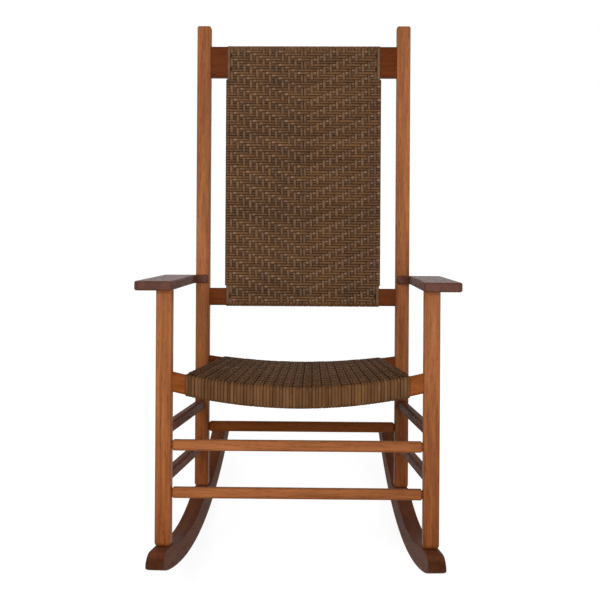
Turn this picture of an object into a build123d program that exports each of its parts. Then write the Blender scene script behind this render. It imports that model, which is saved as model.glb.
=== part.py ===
"""A porch rocking chair in square stock, with a woven splint seat and back.

Everything is set out square to the posts: "across" the chair, "back" from the centre line of the
front posts, and "up" the posts from the feet of the front posts. The whole chair then leans back
until it balances on its rockers. Millimetres.
"""
from build123d import *
from math import cos, hypot, radians, sin, sqrt
import os

# ---------------------------------------------------------------- driving sizes
lean = 16.5                # how far the chair leans back at rest, degrees

# Posts
post = 32.0                # posts are square
post_edge = 3.5            # easing of their long edges
post_foot = 9.0            # rounding at the feet
post_head = 3.0            # chamfer round the tops of the rear posts
front_spread = 534.0       # front posts, centre to centre
rear_spread = 470.0        # rear posts, centre to centre
frame_depth = 430.0        # front posts to rear posts, centre to centre
front_post_top = 512.0     # underside of the arm at the front post's centre
rear_post_top = 1139.0

# Rockers: boards on edge, whose lengths are measured along the board
rocker_width = 34.0
runner_radius = 1041.0     # arc of the sole
runner_back = 118.0        # middle of that arc, behind the front posts
runner_drop = 53.5         # middle of that arc, below the front posts' feet
rocker_depth = 49.0        # sole to top, behind the rear posts
nose_front = -88.0         # front end of the rockers
nose_end = 9.0             # height of the blunt end of the nose
nose_lift = 4.2            # its lower corner, above the arc of the sole
sole_start = -10.0         # where the arc of the sole begins, behind the turned-up nose
nose_shoulder = -50.0      # where the nose starts to fall away
hollow_start = 24.0        # where the top dips behind the front posts
hollow_low = -1.0          # height of the top midway between its two flats
rear_flat_ahead = 6.0      # flat in front of the rear posts
rear_flat_behind = 4.8     # flat behind them, up to the curved top
tail_shoulder = 230.0      # where the top turns over to the tail, behind the rear posts
tail_back = 319.0          # corner of the tail behind them, before it is rounded
tail_round = 8.0
rocker_edge = 2.2          # chamfer along their edges

# Rungs, with round tenons
rung_thickness = 20.0
rung_height = 22.0
rear_rung_height = 24.0
rung_edge = 5.5            # rounding along them
rung_end = 4.2             # chamfer round their ends
front_rung_upper = 202.0   # centre heights
front_rung_lower = 107.0
rear_rung_up = 195.0
side_rung_upper = 231.0    # at the front posts' centre line
side_rung_lower = 135.5
side_rung_rise = 0.042     # rise per millimetre towards the back
rung_tenon = 13.0
rung_tenon_length = 18.0

# Rails of the back, with flat tenons
rail_thickness = 22.0
back_rail_edge = 4.0
top_rail_height = 72.5
top_rail_drop = 47.5       # its top edge, below the tops of the posts
lower_rail_height = 41.0
lower_rail_low = 481.0
rail_tenon_thickness = 12.0
rail_tenon_shoulder = 8.0  # shoulder above and below a flat tenon
rail_tenon_length = 18.0

# Rails of the seat, sawn to a dished curve
seat_rail_height = 39.5
seat_rail_edge = 4.0       # chamfer along them, inside the weave's bend
front_rail_top = 348.5     # top of the front rail where it meets the posts
front_rail_dish = 30.0     # how far its middle lies below that
rear_rail_top = 362.5
rear_rail_dish = 16.5
side_rail_width = 14.0
side_rail_height = 32.0
side_rail_edge = 4.0
side_tenon_width = 8.0
side_tenon_height = 20.0
side_tenon_length = 10.0

# Woven splint
weave = 2.5                # thickness of a woven layer
weave_gap = 0.3            # room between the splint and the wood that it goes round
weave_slope_gap = 0.7      # the same above and below the seat rails, which the layers cross aslant
weave_edge = 6.0           # rounding where the splint turns round a rail of the back
seat_weave_edge = 5.0      # chamfer where it turns round a rail of the seat
back_weave_half = 183.0    # half width of the back panel
seat_weave_front = 226.0   # half width of the seat at the front posts' centre line
seat_weave_rear = 187.5    # half width of the seat at the rear posts' centre line
back_rod = 16.0            # rod inside each side edge of the back panel
back_rod_tenon = 10.0
back_rod_tenon_length = 12.0

# Arms
arm_thickness = 19.0
arm_rise = 0.052           # rise per millimetre towards the back
arm_inner = 249.0          # inner edge, from the middle of the chair
arm_width = 76.0
arm_overhang = 20.0        # in front of the front posts
arm_front_corner = 12.0
arm_inner_corner = 6.0
arm_rear_corner = 15.0
arm_ear = 222.0            # inner end of the ear in front of the rear post
arm_ear_depth = 12.0
arm_ear_corner = 5.0
arm_edge = 4.0             # rounding round the top
arm_under_edge = 2.5       # chamfer round the underside

# Pegs and dowels
arm_peg = 18.0             # round tenon on top of the front post
arm_peg_length = 12.0
arm_dowel = 8.0
arm_dowel_length = 26.0
foot_dowel = 10.0
foot_dowel_length = 50.0

# Fits
fit = 0.2                  # room round a tenon, peg or dowel
end_room = 1.0             # room at the bottom of its hole

# ---------------------------------------------------------------- sizes that follow
half_post = post / 2
front_x = front_spread / 2
rear_x = rear_spread / 2
front_inner = front_x - half_post
rear_inner = rear_x - half_post
bay_start = half_post                  # rear face of the front posts
bay_end = frame_depth - half_post      # front face of the rear posts
top_rail_high = rear_post_top - top_rail_drop
top_rail_low = top_rail_high - top_rail_height
lower_rail_high = lower_rail_low + lower_rail_height
board_depth = hypot(frame_depth, front_x - rear_x)    # post to post, along a rocker
runner_up = runner_radius - runner_drop
rocker_top_radius = runner_radius - rocker_depth
front_rail_radius = (front_inner**2 + front_rail_dish**2) / (2 * front_rail_dish)
rear_rail_radius = (rear_inner**2 + rear_rail_dish**2) / (2 * rear_rail_dish)
back_weave_face = rail_thickness / 2 + weave_gap + weave
beyond = post                          # how far a cutting shape reaches past what it cuts


def on_circle(radius, back):
    """Height of a circle about the runner's centre, on its lower side."""
    return runner_up - sqrt(radius**2 - (back - runner_back)**2)


# ---------------------------------------------------------------- rocker board, and how the chair leans
nose_bottom = (nose_front, on_circle(runner_radius, nose_front) + nose_lift)
nose_top = (nose_front, nose_bottom[1] + nose_end)
rear_flat_start = board_depth - half_post - rear_flat_ahead
rear_flat_end = board_depth + half_post + rear_flat_behind
rear_foot = on_circle(rocker_top_radius, rear_flat_end)    # foot of the rear posts
hollow_middle = (hollow_start + rear_flat_start) / 2
tail_start = board_depth + tail_shoulder
tail_middle = (rear_flat_end + tail_start) / 2
tail_end = board_depth + tail_back

# The right-hand board stands under the line through its two posts, before the chair leans.
board = Plane(
    origin=(front_x, 0, 0),
    x_dir=(rear_x - front_x, frame_depth, 0),
    z_dir=(frame_depth, front_x - rear_x, 0),
)
with BuildPart() as rocker_board:
    with BuildSketch(board) as profile:
        with BuildLine():
            sole = ThreePointArc(
                (sole_start, on_circle(runner_radius, sole_start)),
                (runner_back, -runner_drop),
                (tail_end, on_circle(runner_radius, tail_end)),
            )
            TangentArc(sole @ 0, nose_bottom, tangent=-(sole % 0))
            TangentArc((nose_shoulder, 0), nose_top, tangent=(-1, 0))
            Line(nose_bottom, nose_top)
            Line((nose_shoulder, 0), (hollow_start, 0))
            ThreePointArc((hollow_start, 0), (hollow_middle, hollow_low), (rear_flat_start, rear_foot))
            Line((rear_flat_start, rear_foot), (rear_flat_end, rear_foot))
            tail_top = ThreePointArc(
                (rear_flat_end, rear_foot),
                (tail_middle, on_circle(rocker_top_radius, tail_middle)),
                (tail_start, on_circle(rocker_top_radius, tail_start)),
            )
            TangentArc(tail_top @ 1, sole @ 1, tangent=tail_top % 1)
        make_face()
        fillet(profile.vertices().sort_by(Axis.X)[-1], tail_round)
    extrude(amount=rocker_width / 2, both=True)
    chamfer(rocker_board.edges().filter_by(Axis(board.origin, board.z_dir), reverse=True), rocker_edge)

# The floor is under the lowest point of the leaned boards, and the origin is midway along them.
leaned = rocker_board.part.rotate(Axis.X, -lean).bounding_box()
FRAME = Plane(
    origin=(0, -leaned.center().Y, -leaned.min.Z),
    x_dir=(1, 0, 0),
    z_dir=(0, sin(radians(lean)), cos(radians(lean))),
)


def spot(across, back, up):
    """The point this far across the chair, back from the front posts and up the posts."""
    return FRAME.from_local_coords(Vector(across, back, up))


def way(across, back, up):
    """The direction that runs this way across, back and up."""
    return (FRAME.x_dir * across + FRAME.y_dir * back + FRAME.z_dir * up).normalized()


def level(up):
    """Plane square to the posts at this height: x runs across, y runs back."""
    return Plane(origin=spot(0, 0, up), x_dir=way(1, 0, 0), z_dir=way(0, 0, 1))


def facing(back):
    """Plane across the chair at this depth, seen from the front: x runs across, y runs up."""
    return Plane(origin=spot(0, back, 0), x_dir=way(1, 0, 0), z_dir=way(0, -1, 0))


def beside(across):
    """Plane along the chair, seen from its right: x runs back, y runs up."""
    return Plane(origin=spot(across, 0, 0), x_dir=way(0, 1, 0), z_dir=way(1, 0, 0))


UP = Axis(spot(0, 0, 0), way(0, 0, 1))


def peg(start, direction, diameter, length, mode=Mode.ADD):
    """A round peg or hole in the open part, from a point and along a direction."""
    with BuildSketch(Plane(origin=start, z_dir=direction)) as section:
        Circle(diameter / 2)
    extrude(section.sketch, amount=length, mode=mode)


def flat_tenon(hand, inner, back, low, high, play=0.0, mode=Mode.ADD):
    """A rail's tenon in the open part, or its mortise, from a post's inner face outwards."""
    length = rail_tenon_length + (end_room if play else 0)
    middle = spot(hand * inner, back, (low + high) / 2)
    with BuildSketch(Plane(origin=middle, x_dir=way(0, 1, 0), z_dir=way(hand, 0, 0))) as section:
        Rectangle(rail_tenon_thickness + 2 * play, high - low - 2 * rail_tenon_shoulder + 2 * play)
    extrude(section.sketch, amount=length, mode=mode)


def between(hand, front_across, front_up, rear_across, rear_up, start, end):
    """Start, direction and length of a straight member that runs from one depth to another.

    It is set out between a point over the front posts' centre line and one over the rear posts'.
    """
    run = Vector(hand * (rear_across - front_across), frame_depth, rear_up - front_up)
    first = Vector(hand * front_across, 0, front_up) + run * (start / frame_depth)
    stretch = run * ((end - start) / frame_depth)
    return FRAME.from_local_coords(first), way(run.X, run.Y, run.Z), stretch.length


def side_rung_line(hand, front_up):
    """A side rung's start, direction and length."""
    rear_up = front_up + side_rung_rise * frame_depth
    return between(hand, front_x, front_up, rear_x, rear_up, bay_start, bay_end)


def dish(radius, across):
    """How far a dished edge rises from its middle to this distance across."""
    return radius - sqrt(radius**2 - across**2)


def dished_band(half, top, bottom, radius):
    """Outline of a dished rail or layer: two like arcs, closed by upright ends."""
    rise = dish(radius, half)
    with BuildLine() as outline:
        upper = ThreePointArc((-half, top + rise), (0, top), (half, top + rise))
        lower = ThreePointArc((-half, bottom + rise), (0, bottom), (half, bottom + rise))
        Line(upper @ 0, lower @ 0)
        Line(upper @ 1, lower @ 1)
    return make_face(outline.line.edges())


front_middle = front_rail_top - front_rail_dish    # top of the front seat rail at its middle
rear_middle = rear_rail_top - rear_rail_dish


def seat_side_line(hand, start, end):
    """Start, direction and length of a seat side rail, just inside the edge of the weave."""
    inset = weave + weave_gap + side_rail_width / 2
    front_half, rear_half = seat_weave_front - inset, seat_weave_rear - inset
    front_up = front_middle + dish(front_rail_radius, front_half) - seat_rail_height / 2
    rear_up = rear_middle + dish(rear_rail_radius, rear_half) - seat_rail_height / 2
    return between(hand, front_half, front_up, rear_half, rear_up, start, end)


def front_rail_end(up):
    """Height on the front rail's end that is this far above its lower edge."""
    return front_rail_top - seat_rail_height + up


def rear_rail_end(up):
    """Height on the rear rail's end that is this far above its lower edge."""
    return rear_rail_top - seat_rail_height + up


arm_under = Plane(origin=spot(0, 0, front_post_top), x_dir=way(1, 0, 0), z_dir=way(0, -arm_rise, 1))
arm_over = arm_under.offset(arm_thickness)
arm_dowel_up = front_post_top + arm_rise * bay_end + arm_thickness / 2
arm_dowel_across = rear_x + half_post / 2

os.makedirs("parts", exist_ok=True)

# ---------------------------------------------------------------- pieces that come in pairs
for side, hand in (("left", -1), ("right", 1)):

    # Rocker: the leaned board, with a hole under each post
    with BuildPart() as rocker:
        add(rocker_board.part.moved(FRAME.location))
        if hand < 0:
            mirror(about=Plane.YZ, mode=Mode.REPLACE)
        for across, back, foot in ((front_x, 0, 0), (rear_x, frame_depth, rear_foot)):
            hole = foot_dowel_length / 2 + end_room
            peg(spot(hand * across, back, foot), way(0, 0, -1), foot_dowel + 2 * fit, hole, Mode.SUBTRACT)
    rocker.part.label = f"rocker_{side}"
    export_step(rocker.part, f"parts/rocker_{side}.step")

    # Front post: foot on the rocker, peg into the arm, mortises for the rungs and the seat rail
    with BuildPart() as front_post:
        with BuildSketch(level(0)):
            with Locations((hand * front_x, 0)):
                Rectangle(post, post)
        extrude(amount=front_post_top + beyond)
        split(bisect_by=arm_under, keep=Keep.BOTTOM)
        fillet(front_post.edges().group_by(UP)[0], post_foot)
        fillet(front_post.edges().filter_by(UP), post_edge)
        peg_start = spot(hand * front_x, 0, front_post_top - arm_peg_length)
        peg(peg_start, way(0, 0, 1), arm_peg, 2 * arm_peg_length)
        for up in (front_rung_upper, front_rung_lower):
            peg(
                spot(hand * front_inner, 0, up),
                way(hand, 0, 0),
                rung_tenon + 2 * fit,
                rung_tenon_length + end_room,
                Mode.SUBTRACT,
            )
        for up in (side_rung_upper, side_rung_lower):
            start, direction, length = side_rung_line(hand, up)
            peg(
                start + direction * end_room,
                -direction,
                rung_tenon + 2 * fit,
                rung_tenon_length + 2 * end_room,
                Mode.SUBTRACT,
            )
        low, high = front_rail_end(0), front_rail_end(seat_rail_height)
        flat_tenon(hand, front_inner, 0, low, high, fit, Mode.SUBTRACT)
        hole = foot_dowel_length / 2 + end_room
        peg(spot(hand * front_x, 0, 0), way(0, 0, 1), foot_dowel + 2 * fit, hole, Mode.SUBTRACT)
    front_post.part.label = f"front_post_{side}"
    export_step(front_post.part, f"parts/front_post_{side}.step")

    # Rear post: runs from the rocker to above the back
    with BuildPart() as rear_post:
        with BuildSketch(level(rear_foot)):
            with Locations((hand * rear_x, frame_depth)):
                Rectangle(post, post)
        extrude(amount=rear_post_top - rear_foot)
        fillet(rear_post.edges().group_by(UP)[0], post_foot)
        fillet(rear_post.edges().filter_by(UP), post_edge)
        chamfer(rear_post.edges().group_by(UP)[-1], post_head)
        peg(
            spot(hand * rear_inner, frame_depth, rear_rung_up),
            way(hand, 0, 0),
            rung_tenon + 2 * fit,
            rung_tenon_length + end_room,
            Mode.SUBTRACT,
        )
        for up in (side_rung_upper, side_rung_lower):
            start, direction, length = side_rung_line(hand, up)
            peg(
                start + direction * (length - end_room),
                direction,
                rung_tenon + 2 * fit,
                rung_tenon_length + 2 * end_room,
                Mode.SUBTRACT,
            )
        flat_tenon(hand, rear_inner, frame_depth, top_rail_low, top_rail_high, fit, Mode.SUBTRACT)
        flat_tenon(hand, rear_inner, frame_depth, lower_rail_low, lower_rail_high, fit, Mode.SUBTRACT)
        low, high = rear_rail_end(0), rear_rail_end(seat_rail_height)
        flat_tenon(hand, rear_inner, frame_depth, low, high, fit, Mode.SUBTRACT)
        hole = arm_dowel_length / 2 + end_room
        dowel_start = spot(hand * arm_dowel_across, bay_end, arm_dowel_up)
        peg(dowel_start, way(0, 1, 0), arm_dowel + 2 * fit, hole, Mode.SUBTRACT)
        hole = foot_dowel_length / 2 + end_room
        foot_middle = spot(hand * rear_x, frame_depth, rear_foot)
        peg(foot_middle, way(0, 0, 1), foot_dowel + 2 * fit, hole, Mode.SUBTRACT)
    rear_post.part.label = f"rear_post_{side}"
    export_step(rear_post.part, f"parts/rear_post_{side}.step")

    # Arm: a flat board on the front post, with an ear that meets the front of the rear post
    with BuildPart() as arm:
        front = -half_post - arm_overhang
        outer = arm_inner + arm_width
        hollow = arm_inner - arm_ear
        hollow_back = bay_end - arm_ear_depth - hollow
        with BuildSketch(level(front_post_top - beyond)) as outline:
            with BuildLine():
                Polyline(
                    (arm_inner, hollow_back),
                    (arm_inner, front),
                    (outer, front),
                    (outer, bay_end),
                    (arm_ear, bay_end),
                    (arm_ear, hollow_back + hollow),
                )
                CenterArc((arm_ear, hollow_back), hollow, 0, 90)
            make_face()
            fillet(outline.vertices().group_by(Axis.Y)[0].sort_by(Axis.X)[-1], arm_front_corner)
            fillet(outline.vertices().group_by(Axis.Y)[0].sort_by(Axis.X)[0], arm_inner_corner)
            fillet(outline.vertices().group_by(Axis.Y)[-1].sort_by(Axis.X)[-1], arm_rear_corner)
            fillet(outline.vertices().group_by(Axis.X)[0], arm_ear_corner)
            if hand < 0:
                mirror(about=Plane.YZ, mode=Mode.REPLACE)
        extrude(amount=3 * beyond)
        split(bisect_by=arm_under, keep=Keep.TOP)
        split(bisect_by=arm_over, keep=Keep.BOTTOM)
        chamfer(arm.faces().sort_by(UP)[0].edges(), arm_under_edge)
        fillet(arm.faces().sort_by(UP)[-1].edges(), arm_edge)
        peg_hole = spot(hand * front_x, 0, front_post_top - arm_peg_length)
        peg(peg_hole, way(0, 0, 1), arm_peg + 2 * fit, 2 * arm_peg_length + end_room, Mode.SUBTRACT)
        hole = arm_dowel_length / 2 + end_room
        peg(
            spot(hand * arm_dowel_across, bay_end, arm_dowel_up),
            way(0, -1, 0),
            arm_dowel + 2 * fit,
            hole,
            Mode.SUBTRACT,
        )
    arm.part.label = f"arm_{side}"
    export_step(arm.part, f"parts/arm_{side}.step")

    # Side rungs: they lie aslant in plan and rise to the back, so their shoulders are cut aslant
    for name, up in (("upper", side_rung_upper), ("lower", side_rung_lower)):
        start, direction, length = side_rung_line(hand, up)
        with BuildPart() as side_stretcher:
            with BuildSketch(Plane(origin=start, x_dir=way(1, 0, 0), z_dir=way(0, 1, 0))):
                RectangleRounded(rung_thickness, rung_height, rung_edge)
            extrude(amount=length, dir=direction)
            ends = side_stretcher.faces().filter_by(Axis(start, way(0, 1, 0)))
            chamfer(ends.edges(), rung_end)
            peg(start + direction * end_room, -direction, rung_tenon, rung_tenon_length + end_room)
            far = start + direction * (length - end_room)
            peg(far, direction, rung_tenon, rung_tenon_length + end_room)
        side_stretcher.part.label = f"side_stretcher_{side}_{name}"
        export_step(side_stretcher.part, f"parts/side_stretcher_{side}_{name}.step")

    # Seat side rail: runs aslant between the two dished rails
    rail_back = rail_thickness / 2
    start, direction, length = seat_side_line(hand, rail_back, frame_depth - rail_back)
    with BuildPart() as seat_side_rail:
        with BuildSketch(Plane(origin=start, x_dir=way(1, 0, 0), z_dir=way(0, 1, 0))):
            RectangleRounded(side_rail_width, side_rail_height, side_rail_edge)
        extrude(amount=length, dir=direction)
        with BuildSketch(Plane(origin=start, x_dir=way(1, 0, 0), z_dir=way(0, 1, 0))):
            Rectangle(side_tenon_width, side_tenon_height)
        extrude(amount=-side_tenon_length, dir=direction)
        far = start + direction * length
        with BuildSketch(Plane(origin=far, x_dir=way(1, 0, 0), z_dir=way(0, 1, 0))):
            Rectangle(side_tenon_width, side_tenon_height)
        extrude(amount=side_tenon_length, dir=direction)
    seat_side_rail.part.label = f"seat_side_rail_{side}"
    export_step(seat_side_rail.part, f"parts/seat_side_rail_{side}.step")

    # Rod inside the side edge of the woven back, pegged into both back rails
    rod_x = hand * (back_weave_half - weave - weave_gap - back_rod / 2)
    with BuildPart() as back_side_rod:
        rod_length = top_rail_low - lower_rail_high
        peg(spot(rod_x, frame_depth, lower_rail_high), way(0, 0, 1), back_rod, rod_length)
        peg(
            spot(rod_x, frame_depth, lower_rail_high - back_rod_tenon_length),
            way(0, 0, 1),
            back_rod_tenon,
            rod_length + 2 * back_rod_tenon_length,
        )
    back_side_rod.part.label = f"back_side_rod_{side}"
    export_step(back_side_rod.part, f"parts/back_side_rod_{side}.step")


# ---------------------------------------------------------------- rails
def seat_rail(back, half, top, radius):
    """Body of a dished seat rail in the open part, between two posts."""
    with BuildSketch(facing(back - rail_thickness / 2)) as outline:
        dished_band(half, top, top - seat_rail_height, radius)
    extrude(outline.sketch, amount=-rail_thickness)


def side_rail_mortises(back, sign):
    """Mortises for the two seat side rails in the open rail, whose inner face is at this depth."""
    for hand in (-1, 1):
        start, direction, length = seat_side_line(hand, back, frame_depth)
        with BuildSketch(Plane(origin=start, x_dir=way(1, 0, 0), z_dir=way(0, 1, 0))) as section:
            Rectangle(side_tenon_width + 2 * fit, side_tenon_height + 2 * fit)
        depth = side_tenon_length + end_room
        extrude(section.sketch, amount=sign * depth, dir=direction, mode=Mode.SUBTRACT)


with BuildPart() as seat_front_rail:
    seat_rail(0, front_inner, front_middle, front_rail_radius)
    chamfer(seat_front_rail.edges().filter_by(GeomType.CIRCLE), seat_rail_edge)
    for hand in (-1, 1):
        flat_tenon(hand, front_inner, 0, front_rail_end(0), front_rail_end(seat_rail_height))
    side_rail_mortises(rail_thickness / 2, -1)
seat_front_rail.part.label = "seat_front_rail"
export_step(seat_front_rail.part, "parts/seat_front_rail.step")

with BuildPart() as seat_rear_rail:
    seat_rail(frame_depth, rear_inner, rear_middle, rear_rail_radius)
    chamfer(seat_rear_rail.edges().filter_by(GeomType.CIRCLE), seat_rail_edge)
    for hand in (-1, 1):
        flat_tenon(hand, rear_inner, frame_depth, rear_rail_end(0), rear_rail_end(seat_rail_height))
    side_rail_mortises(frame_depth - rail_thickness / 2, 1)
seat_rear_rail.part.label = "seat_rear_rail"
export_step(seat_rear_rail.part, "parts/seat_rear_rail.step")

rod_x = back_weave_half - weave - weave_gap - back_rod / 2
for name, low, high, rod_up, rod_way in (
    ("back_top_rail", top_rail_low, top_rail_high, top_rail_low, 1),
    ("back_lower_rail", lower_rail_low, lower_rail_high, lower_rail_high, -1),
):
    with BuildPart() as back_rail:
        with BuildSketch(beside(-rear_inner)):
            with Locations((frame_depth, (low + high) / 2)):
                RectangleRounded(rail_thickness, high - low, back_rail_edge)
        extrude(amount=2 * rear_inner)
        for hand in (-1, 1):
            flat_tenon(hand, rear_inner, frame_depth, low, high)
            peg(
                spot(hand * rod_x, frame_depth, rod_up),
                way(0, 0, rod_way),
                back_rod_tenon + 2 * fit,
                back_rod_tenon_length + end_room,
                Mode.SUBTRACT,
            )
    back_rail.part.label = name
    export_step(back_rail.part, f"parts/{name}.step")

# ---------------------------------------------------------------- rungs across the chair
for name, inner, back, up, height in (
    ("front_stretcher_upper", front_inner, 0, front_rung_upper, rung_height),
    ("front_stretcher_lower", front_inner, 0, front_rung_lower, rung_height),
    ("rear_stretcher", rear_inner, frame_depth, rear_rung_up, rear_rung_height),
):
    with BuildPart() as stretcher:
        with BuildSketch(beside(-inner)):
            with Locations((back, up)):
                RectangleRounded(rung_thickness, height, rung_edge)
        extrude(amount=2 * inner)
        chamfer(stretcher.faces().filter_by(Axis.X).edges(), rung_end)
        tenon_reach = inner + rung_tenon_length
        peg(spot(-tenon_reach, back, up), way(1, 0, 0), rung_tenon, 2 * tenon_reach)
    stretcher.part.label = name
    export_step(stretcher.part, f"parts/{name}.step")

# ---------------------------------------------------------------- woven panels
with BuildPart() as woven_back:
    wrap = weave_gap + weave
    with BuildSketch(facing(frame_depth - back_weave_face)):
        with Locations((0, (lower_rail_low + top_rail_high) / 2)):
            Rectangle(2 * back_weave_half, top_rail_high - lower_rail_low + 2 * wrap)
    extrude(amount=-2 * back_weave_face)
    fillet(woven_back.edges(), weave_edge)
    with BuildSketch(facing(frame_depth - rail_thickness / 2 - weave_gap)):
        with Locations((0, (lower_rail_low + top_rail_high) / 2)):
            Rectangle(2 * (back_weave_half - weave), top_rail_high - lower_rail_low + 2 * weave_gap)
    extrude(amount=-rail_thickness - 2 * weave_gap, mode=Mode.SUBTRACT)
    for low, high in ((lower_rail_low, lower_rail_high), (top_rail_low, top_rail_high)):
        with BuildSketch(beside(-rear_inner)):
            with Locations((frame_depth, (low + high) / 2)):
                Rectangle(rail_thickness + 2 * weave_gap, high - low + 2 * weave_gap)
        extrude(amount=2 * rear_inner, mode=Mode.SUBTRACT)
woven_back.part.label = "woven_back"
export_step(woven_back.part, "parts/woven_back.step")


def along_seat(front, rear, back):
    """A size that changes evenly from the front rail to the rear rail, read at this depth."""
    return front + (rear - front) * back / frame_depth


def seat_section(back, margin, side_margin):
    """The seat's outline at this depth, outside the rails by a margin, as a face."""
    half = along_seat(seat_weave_front, seat_weave_rear, back) - side_margin
    middle = along_seat(front_middle, rear_middle, back)
    front_edge = dish(front_rail_radius, seat_weave_front)
    rear_edge = dish(rear_rail_radius, seat_weave_rear)
    edge = along_seat(front_edge, rear_edge, back)
    radius = (half**2 + edge**2) / (2 * edge)
    with BuildSketch(facing(back)) as section:
        dished_band(half, middle + margin, middle - seat_rail_height - margin, radius)
    return section.sketch


with BuildPart() as woven_seat:
    inner_face = rail_thickness / 2 + weave_gap
    outer_face = inner_face + weave
    outer = [
        seat_section(back, weave_slope_gap + weave, 0)
        for back in (-outer_face, frame_depth + outer_face)
    ]
    loft(outer, ruled=True)
    chamfer(woven_seat.edges().filter_by(GeomType.CIRCLE), seat_weave_edge)
    inner = [
        seat_section(back, weave_slope_gap, weave)
        for back in (-inner_face, frame_depth + inner_face)
    ]
    loft(inner, ruled=True, mode=Mode.SUBTRACT)
    for back, half, top, radius in (
        (0, front_inner, front_middle, front_rail_radius),
        (frame_depth, rear_inner, rear_middle, rear_rail_radius),
    ):
        with BuildSketch(facing(back - inner_face)) as window:
            dished_band(half, top + weave_slope_gap, top - seat_rail_height - weave_slope_gap, radius)
        extrude(window.sketch, amount=-2 * inner_face, mode=Mode.SUBTRACT)
woven_seat.part.label = "woven_seat"
export_step(woven_seat.part, "parts/woven_seat.step")

# ---------------------------------------------------------------- dowels
for name, across, back, foot in (
    ("front_rocker_dowels", front_x, 0, 0),
    ("rear_rocker_dowels", rear_x, frame_depth, rear_foot),
):
    with BuildPart() as foot_dowels:
        for hand in (-1, 1):
            low_end = spot(hand * across, back, foot - foot_dowel_length / 2)
            peg(low_end, way(0, 0, 1), foot_dowel, foot_dowel_length)
    foot_dowels.part.label = name
    export_step(foot_dowels.part, f"parts/{name}.step")

with BuildPart() as arm_dowels:
    for hand in (-1, 1):
        front_end = spot(hand * arm_dowel_across, bay_end - arm_dowel_length / 2, arm_dowel_up)
        peg(front_end, way(0, 1, 0), arm_dowel, arm_dowel_length)
arm_dowels.part.label = "arm_dowels"
export_step(arm_dowels.part, "parts/arm_dowels.step")
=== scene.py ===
"""The porch rocking chair: wood finishes, woven splint seat and back, floor, light and camera.

Metres. Places in the chair are given square to its posts: across, back from the centre line of the
front posts, and up from the feet of the front posts. The chair leans back from that.
"""
from math import cos, pi, radians, sin, sqrt

import bpy
from mathutils import Matrix, Vector


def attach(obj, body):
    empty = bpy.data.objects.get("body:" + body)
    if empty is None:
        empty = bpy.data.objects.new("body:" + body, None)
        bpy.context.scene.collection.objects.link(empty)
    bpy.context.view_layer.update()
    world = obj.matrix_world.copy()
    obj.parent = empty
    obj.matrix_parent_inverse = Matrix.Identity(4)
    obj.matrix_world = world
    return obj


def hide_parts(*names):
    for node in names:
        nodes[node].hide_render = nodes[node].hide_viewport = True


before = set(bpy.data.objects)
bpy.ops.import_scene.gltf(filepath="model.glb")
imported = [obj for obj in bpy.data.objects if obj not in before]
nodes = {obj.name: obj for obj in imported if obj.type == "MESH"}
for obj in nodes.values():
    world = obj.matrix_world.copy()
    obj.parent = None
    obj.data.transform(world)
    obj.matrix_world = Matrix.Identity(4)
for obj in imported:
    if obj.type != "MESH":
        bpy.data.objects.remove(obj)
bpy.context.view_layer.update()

# ---------------------------------------------------------------- how the chair stands
LEAN = radians(16.5)
FOOT = Vector((0, -0.3316362, 0.1276676))    # middle of the front posts' feet
CHAIR = Matrix.Translation(FOOT) @ Matrix.Rotation(-LEAN, 4, "X")

# ---------------------------------------------------------------- the rails of the two panels
FRAME_DEPTH = 0.430            # from the front posts to the rear posts, centre to centre
RAIL_FACE = 0.011              # half the thickness of a rail
BACK_MIDDLE = 0.78625          # middle of the back panel, up the posts
BACK_HALF_HEIGHT = 0.30525     # from there to the outer edge of either rail
BACK_HALF = 0.183              # half width of the back panel
SEAT_HALF_FRONT = 0.226
SEAT_HALF_REAR = 0.1875
SEAT_RAIL_HEIGHT = 0.0395
SEAT_FRONT_MIDDLE = 0.3185     # top of the front seat rail at its middle
SEAT_REAR_MIDDLE = 0.346
FRONT_DISH = (0.251, 0.030)    # half length of the front seat rail, and how far its middle dips
REAR_DISH = (0.219, 0.0165)

# ---------------------------------------------------------------- the weave
SPLINT_THICKNESS = 0.0015
FLATNESS = 0.35                # power that flattens a splint's round section
SWAY = 0.0009                  # how far a splint lies above or below the middle of the weave
STRAY = 0.0002                 # how far a splint may lie off its own line
FACE_LIFT = 0.0017             # from the face of a rail to the middle of the weave
EDGE_LIFT = 0.0013             # the same at the edges of the back's rails
EDGE_ROOM = 0.0026             # from a panel's side edge to the groups of lengthwise splints
BACK_BEND = 0.0075             # radius of the turn round a rail
SEAT_BEND = 0.009
REPEAT = 5                     # groups after which the pattern repeats
BEND_STEPS = 3                 # steps round each quarter turn
TURNING_STEPS = 4 * BEND_STEPS + 2    # steps of a closed path round its two ends
CROSS_STEPS = 4                # points of a crosswise splint over each group
LENGTHWISE_FILL = 1.03         # width of a splint as a share of its pitch
CROSSWISE_FILL = 1.02
LENGTHWISE_SIDES = 8           # corners of a splint's section
CROSSWISE_SIDES = 5


def dish_rise(rail, across):
    """How far a dished rail rises from its middle to this distance across."""
    half, dip = rail
    radius = (half**2 + dip**2) / (2 * dip)
    return radius - sqrt(radius**2 - across**2)


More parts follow.
